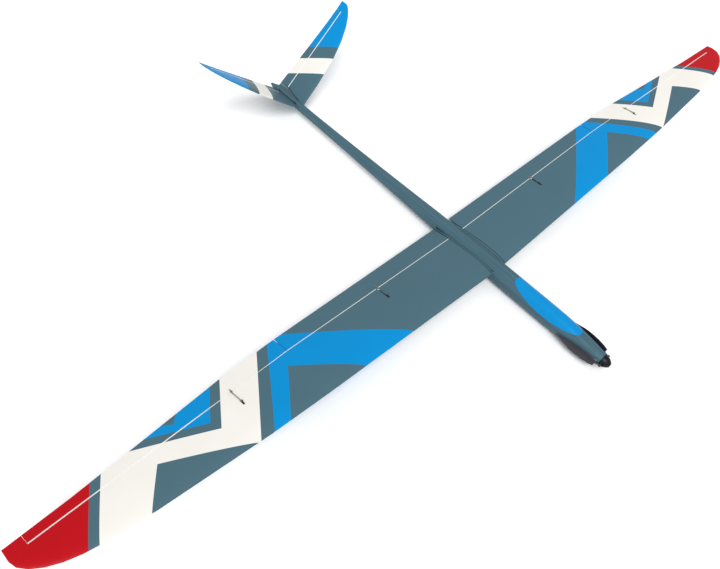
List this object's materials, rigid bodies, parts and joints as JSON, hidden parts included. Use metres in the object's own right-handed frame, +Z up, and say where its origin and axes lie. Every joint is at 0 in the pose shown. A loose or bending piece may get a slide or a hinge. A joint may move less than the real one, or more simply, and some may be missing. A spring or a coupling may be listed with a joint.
{
  "type": "radio-controlled electric sailplane",
  "caption": "Model electric sailplane with slender cranked wing, flaps and ailerons, V-tail with ruddervators, pod-and-boom fuselage, lift-off canopy and folding propeller",
  "frame": {"origin": "middle of the bounding box's base: under the fuselage on the centre plane, halfway along the aircraft, at the belly's lowest line", "axes": "+X to the aircraft's left wing tip, the nose toward -Y, +Z up"},
  "size_m": [2.904, 1.4842, 0.2603],
  "materials": {
    "arm_plastic": "black nylon",
    "battery_wrap": "heat-shrink wrap",
    "black_aluminium": "turned aluminium, black anodised",
    "blue_composite": "moulded glass-fibre canopy, bright blue gloss",
    "carbon": "carbon fibre in clear epoxy",
    "cover_plastic": "white vacuum-formed cover",
    "electronics": "black moulded case or heat-shrink",
    "glass_board": "milled glass-epoxy board",
    "grey_composite": "moulded glass-fibre shell, grey-blue gloss finish",
    "nickel": "nickel-plated magnet",
    "painted_composite": "composite skin sprayed in the mould, gloss",
    "plywood": "birch plywood",
    "servo_plastic": "black moulded servo case",
    "steel": "bright steel"
  },
  "bodies": {
    "airframe": {"fuselage_shell": "grey_composite", "motor_bulkhead": "glass_board", "motor_can": "black_aluminium", "motor_screws": "steel", "equipment_tray": "plywood", "battery": "battery_wrap", "receiver": "electronics", "speed_controller": "electronics", "tail_servo_left": "servo_plastic", "tail_servo_right": "servo_plastic", "tail_joiner_rods": "steel", "wing_joiner": "carbon", "joiner_sleeve": "glass_board", "locating_pins": "steel", "flap_servo_cover_left": "cover_plastic", "flap_servo_cover_right": "cover_plastic", "flap_servo_left": "servo_plastic", "flap_servo_right": "servo_plastic", "aileron_servo_cover_left": "cover_plastic", "aileron_servo_cover_right": "cover_plastic", "aileron_servo_left": "servo_plastic", "aileron_servo_right": "servo_plastic", "wing_panel_left": "painted_composite", "wing_panel_right": "painted_composite", "tail_panel_left": "painted_composite", "tail_panel_right": "painted_composite"},
    "rotor": {"spinner_backplate": "black_aluminium", "spinner_cone": "black_aluminium", "prop_yoke": "black_aluminium", "blade_pins": "steel", "spinner_screw": "steel", "motor_shaft": "steel"},
    "blade_left": {"prop_blade_left": "carbon"},
    "blade_right": {"prop_blade_right": "carbon"},
    "canopy": {"canopy": "blue_composite", "canopy_magnets": "nickel"},
    "flap_left": {"flap_left": "painted_composite", "flap_horn_left": "glass_board"},
    "flap_arm_left": {"flap_arm_left": "arm_plastic"},
    "flap_rod_left": {"flap_rod_left": "steel"},
    "aileron_left": {"aileron_left": "painted_composite", "aileron_horn_left": "glass_board"},
    "aileron_arm_left": {"aileron_arm_left": "arm_plastic"},
    "aileron_rod_left": {"aileron_rod_left": "steel"},
    "ruddervator_left": {"ruddervator_left": "painted_composite", "ruddervator_horn_left": "glass_board"},
    "tail_servo_arm_left": {"tail_servo_arm_left": "arm_plastic"},
    "tail_pushrod_left": {"tail_pushrod_left": "carbon"},
    "flap_right": {"flap_right": "painted_composite", "flap_horn_right": "glass_board"},
    "flap_arm_right": {"flap_arm_right": "arm_plastic"},
    "flap_rod_right": {"flap_rod_right": "steel"},
    "aileron_right": {"aileron_right": "painted_composite", "aileron_horn_right": "glass_board"},
    "aileron_arm_right": {"aileron_arm_right": "arm_plastic"},
    "aileron_rod_right": {"aileron_rod_right": "steel"},
    "ruddervator_right": {"ruddervator_right": "painted_composite", "ruddervator_horn_right": "glass_board"},
    "tail_servo_arm_right": {"tail_servo_arm_right": "arm_plastic"},
    "tail_pushrod_right": {"tail_pushrod_right": "carbon"}
  },
  "joints": [
    {"name": "rotor_spin", "type": "hinge", "parent": "airframe", "child": "rotor", "pos_m": [0, -0.7207, 0.037], "axis": [0, 1, 0], "continuous": true},
    {"name": "blade_left_fold", "type": "hinge", "parent": "rotor", "child": "blade_left", "pos_m": [0.0205, -0.7207, 0.037], "axis": [0, 0, -1], "range_deg": [0, 90]},
    {"name": "blade_right_fold", "type": "hinge", "parent": "rotor", "child": "blade_right", "pos_m": [-0.0205, -0.7207, 0.037], "axis": [0, 0, 1], "range_deg": [0, 90]},
    {"name": "canopy_lift", "type": "slide", "parent": "airframe", "child": "canopy", "axis": [0, 0, 1], "range_m": [0, 0.08]},
    {"name": "flap_left_hinge", "type": "hinge", "parent": "airframe", "child": "flap_left", "pos_m": [0.033, -0.14615, 0.04061], "axis": [-0.9954, 0.0208, -0.0932], "range_deg": [-12, 45]},
    {"name": "flap_left_servo", "type": "hinge", "parent": "airframe", "child": "flap_arm_left", "pos_m": [0.36015, -0.19075, 0.07726], "axis": [-0.9954, 0.0208, -0.0932], "range_deg": [-12, 45]},
    {"name": "flap_left_link", "type": "hinge", "parent": "flap_arm_left", "child": "flap_rod_left", "pos_m": [0.35906, -0.18861, 0.08944], "axis": [-0.9954, 0.0208, -0.0932], "range_deg": [-45, 12]},
    {"name": "aileron_left_hinge", "type": "hinge", "parent": "airframe", "child": "aileron_left", "pos_m": [0.702, -0.16014, 0.10329], "axis": [-0.994, 0.0527, -0.0958], "range_deg": [-20, 20]},
    {"name": "aileron_left_servo", "type": "hinge", "parent": "airframe", "child": "aileron_arm_left", "pos_m": [0.88432, -0.2076, 0.12698], "axis": [-0.994, 0.0527, -0.0958], "range_deg": [-20, 20]},
    {"name": "aileron_left_link", "type": "hinge", "parent": "aileron_arm_left", "child": "aileron_rod_left", "pos_m": [0.88346, -0.20555, 0.13701], "axis": [-0.994, 0.0527, -0.0958], "range_deg": [-20, 20]},
    {"name": "ruddervator_left_hinge", "type": "hinge", "parent": "airframe", "child": "ruddervator_left", "pos_m": [0.01966, 0.68001, 0.04612], "axis": [-0.7986, -0.0963, -0.5942], "range_deg": [-25, 25]},
    {"name": "tail_pushrod_left_slide", "type": "slide", "parent": "airframe", "child": "tail_pushrod_left", "axis": [0, 1, 0], "range_m": [-0.0047, 0.0047]},
    {"name": "tail_servo_left_turn", "type": "hinge", "parent": "airframe", "child": "tail_servo_arm_left", "pos_m": [0.013, -0.466, 0.0388], "axis": [0, 0, -1], "range_deg": [-27, 27]},
    {"name": "flap_right_hinge", "type": "hinge", "parent": "airframe", "child": "flap_right", "pos_m": [-0.033, -0.14615, 0.04061], "axis": [-0.9954, -0.0208, 0.0932], "range_deg": [-12, 45]},
    {"name": "flap_right_servo", "type": "hinge", "parent": "airframe", "child": "flap_arm_right", "pos_m": [-0.36015, -0.19075, 0.07726], "axis": [-0.9954, -0.0208, 0.0932], "range_deg": [-12, 45]},
    {"name": "flap_right_link", "type": "hinge", "parent": "flap_arm_right", "child": "flap_rod_right", "pos_m": [-0.35906, -0.18861, 0.08944], "axis": [-0.9954, -0.0208, 0.0932], "range_deg": [-45, 12]},
    {"name": "aileron_right_hinge", "type": "hinge", "parent": "airframe", "child": "aileron_right", "pos_m": [-0.702, -0.16014, 0.10329], "axis": [-0.994, -0.0527, 0.0958], "range_deg": [-20, 20]},
    {"name": "aileron_right_servo", "type": "hinge", "parent": "airframe", "child": "aileron_arm_right", "pos_m": [-0.88432, -0.2076, 0.12698], "axis": [-0.994, -0.0527, 0.0958], "range_deg": [-20, 20]},
    {"name": "aileron_right_link", "type": "hinge", "parent": "aileron_arm_right", "child": "aileron_rod_right", "pos_m": [-0.88346, -0.20555, 0.13701], "axis": [-0.994, -0.0527, 0.0958], "range_deg": [-20, 20]},
    {"name": "ruddervator_right_hinge", "type": "hinge", "parent": "airframe", "child": "ruddervator_right", "pos_m": [-0.01966, 0.68001, 0.04612], "axis": [-0.7986, 0.0963, 0.5942], "range_deg": [-25, 25]},
    {"name": "tail_pushrod_right_slide", "type": "slide", "parent": "airframe", "child": "tail_pushrod_right", "axis": [0, 1, 0], "range_m": [-0.0047, 0.0047]},
    {"name": "tail_servo_right_turn", "type": "hinge", "parent": "airframe", "child": "tail_servo_arm_right", "pos_m": [-0.013, -0.466, 0.0388], "axis": [0, 0, 1], "range_deg": [-27, 27]}
  ],
  "couplings": [
    {"joint": "flap_left_servo", "follows": "flap_left_hinge", "ratio": 1},
    {"joint": "flap_left_link", "follows": "flap_left_hinge", "ratio": -1},
    {"joint": "aileron_left_servo", "follows": "aileron_left_hinge", "ratio": 1},
    {"joint": "aileron_left_link", "follows": "aileron_left_hinge", "ratio": -1},
    {"joint": "tail_pushrod_left_slide", "follows": "ruddervator_left_hinge", "m_per_rad": 0.010654},
    {"joint": "tail_servo_left_turn", "follows": "ruddervator_left_hinge", "ratio": 1.0512},
    {"joint": "flap_right_servo", "follows": "flap_right_hinge", "ratio": 1},
    {"joint": "flap_right_link", "follows": "flap_right_hinge", "ratio": -1},
    {"joint": "aileron_right_servo", "follows": "aileron_right_hinge", "ratio": 1},
    {"joint": "aileron_right_link", "follows": "aileron_right_hinge", "ratio": -1},
    {"joint": "tail_pushrod_right_slide", "follows": "ruddervator_right_hinge", "m_per_rad": 0.010654},
    {"joint": "tail_servo_right_turn", "follows": "ruddervator_right_hinge", "ratio": 1.0512}
  ]
}
